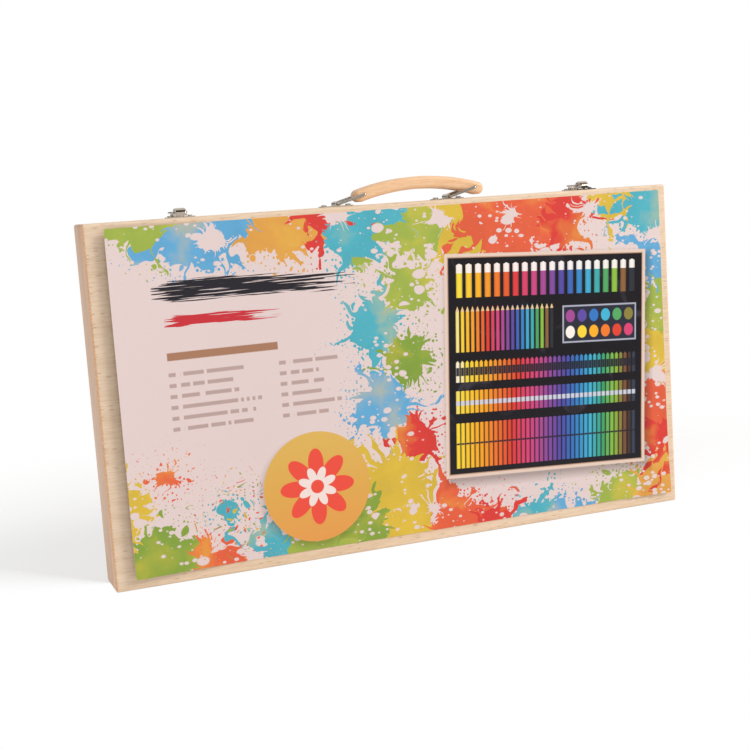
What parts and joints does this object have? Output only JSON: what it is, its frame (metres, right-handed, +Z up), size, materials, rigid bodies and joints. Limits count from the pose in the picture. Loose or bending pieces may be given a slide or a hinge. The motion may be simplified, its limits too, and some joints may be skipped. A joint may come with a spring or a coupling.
{
  "type": "art set case",
  "caption": "Slim wooden art set case, hinged along one long edge, with an arched carrying handle, two draw latches and trays of crayons, pens, pencils and paints inside.",
  "frame": {"origin": "under the middle of the whole closed case, on the face it stands on", "axes": "+Z up from the hinge edge to the handle edge, X along the hinge, +Y from the card towards the back panel"},
  "size_m": [0.5, 0.0456, 0.2999],
  "materials": {
    "frame_wood": "planed and sanded, clear matt lacquer",
    "panel_ply": "thin plywood with a light flecked face, sanded",
    "tray_black": "vacuum-formed sheet",
    "nickel": "bright nickel plate on pressed steel",
    "steel_wire": "drawn wire, bright",
    "grip_beech": "turned and sanded, clear lacquer",
    "printed_card": "printed board with a satin varnish",
    "wax": "wax with a paper sleeve, many colours",
    "oil_pastel": "pastel with a paper sleeve, many colours",
    "marker_barrel": "moulded, many colours",
    "white_cap": "moulded",
    "pen_barrel": "moulded, many colours",
    "pen_cap": "moulded, many colours",
    "lacquered_pencil": "lacquered, many colours",
    "brush": "lacquered handle, metal ferrule, hair",
    "ruler_plastic": "moulded, translucent",
    "white_plastic": "moulded",
    "paint": "pressed watercolour, many colours",
    "dark_plastic": "moulded",
    "eraser": "vinyl with a paper sleeve"
  },
  "bodies": {
    "base": {"base_top_rail": "frame_wood", "base_bottom_rail": "frame_wood", "base_left_rail": "frame_wood", "base_right_rail": "frame_wood", "base_panel": "panel_ply", "base_tray": "tray_black", "hinge_left_base_leaf": "nickel", "hinge_right_base_leaf": "nickel", "hinge_left_pin": "nickel", "hinge_right_pin": "nickel", "hinge_base_screws": "nickel", "latch_left_catch": "nickel", "latch_right_catch": "nickel", "latch_catch_screws": "nickel", "wax_crayons": "wax", "oil_pastels": "oil_pastel", "maxi_markers": "marker_barrel", "maxi_marker_caps": "white_cap", "glue_stick": "white_plastic", "glue_stick_cap": "dark_plastic", "eraser": "eraser"},
    "lid": {"lid_top_rail": "frame_wood", "lid_bottom_rail": "frame_wood", "lid_left_rail": "frame_wood", "lid_right_rail": "frame_wood", "lid_panel": "panel_ply", "lid_tray": "tray_black", "printed_card": "printed_card", "hinge_left_lid_leaf": "nickel", "hinge_right_lid_leaf": "nickel", "hinge_lid_screws": "nickel", "handle_left_bracket": "nickel", "handle_right_bracket": "nickel", "handle_screws": "nickel", "latch_left_plate": "nickel", "latch_right_plate": "nickel", "latch_left_pin": "nickel", "latch_right_pin": "nickel", "latch_plate_screws": "nickel", "colour_pencils": "lacquered_pencil", "fibre_pens": "pen_barrel", "fibre_pen_caps": "pen_cap", "graphite_pencil": "lacquered_pencil", "brush": "brush", "ruler": "ruler_plastic", "paint_box": "white_plastic", "paint_pans": "paint", "sharpener": "dark_plastic", "paper_clips": "steel_wire"},
    "handle_link_left": {"handle_left_link": "steel_wire"},
    "handle_link_right": {"handle_right_link": "steel_wire"},
    "handle": {"handle_grip": "grip_beech"},
    "latch_lever_left": {"latch_left_lever": "nickel"},
    "latch_lever_right": {"latch_right_lever": "nickel"},
    "latch_loop_left": {"latch_left_loop": "steel_wire"},
    "latch_loop_right": {"latch_right_loop": "steel_wire"}
  },
  "joints": [
    {"name": "lid_hinge", "type": "hinge", "parent": "base", "child": "lid", "pos_m": [0, 0.0028, 0.0024], "axis": [1, 0, 0], "range_deg": [0, 105]},
    {"name": "handle_fold", "type": "hinge", "parent": "lid", "child": "handle_link_left", "pos_m": [-0.0482, -0.0072, 0.28215], "axis": [0, -1, 0], "range_deg": [0, 149]},
    {"name": "handle_fold_right", "type": "hinge", "parent": "lid", "child": "handle_link_right", "pos_m": [0.0482, -0.0072, 0.28215], "axis": [0, -1, 0], "range_deg": [0, 149]},
    {"name": "handle_grip_turn", "type": "hinge", "parent": "handle_link_left", "child": "handle", "pos_m": [-0.02553, -0.0072, 0.28835], "axis": [0, -1, 0], "range_deg": [-149, 0]},
    {"name": "latch_left_lever_turn", "type": "hinge", "parent": "lid", "child": "latch_lever_left", "pos_m": [-0.174, -0.0052, 0.2832], "axis": [-1, 0, 0], "range_deg": [0, 135]},
    {"name": "latch_left_loop_turn", "type": "hinge", "parent": "latch_lever_left", "child": "latch_loop_left", "pos_m": [-0.174, -0.00746, 0.284], "axis": [-1, 0, 0], "range_deg": [-135, 0]},
    {"name": "latch_right_lever_turn", "type": "hinge", "parent": "lid", "child": "latch_lever_right", "pos_m": [0.174, -0.0052, 0.2832], "axis": [-1, 0, 0], "range_deg": [0, 135]},
    {"name": "latch_right_loop_turn", "type": "hinge", "parent": "latch_lever_right", "child": "latch_loop_right", "pos_m": [0.174, -0.00746, 0.284], "axis": [-1, 0, 0], "range_deg": [-135, 0]}
  ],
  "couplings": [
    {"joint": "handle_fold_right", "follows": "handle_fold", "ratio": 1},
    {"joint": "handle_grip_turn", "follows": "handle_fold", "ratio": -1},
    {"joint": "latch_left_loop_turn", "follows": "latch_left_lever_turn", "ratio": -1},
    {"joint": "latch_right_loop_turn", "follows": "latch_right_lever_turn", "ratio": -1}
  ]
}
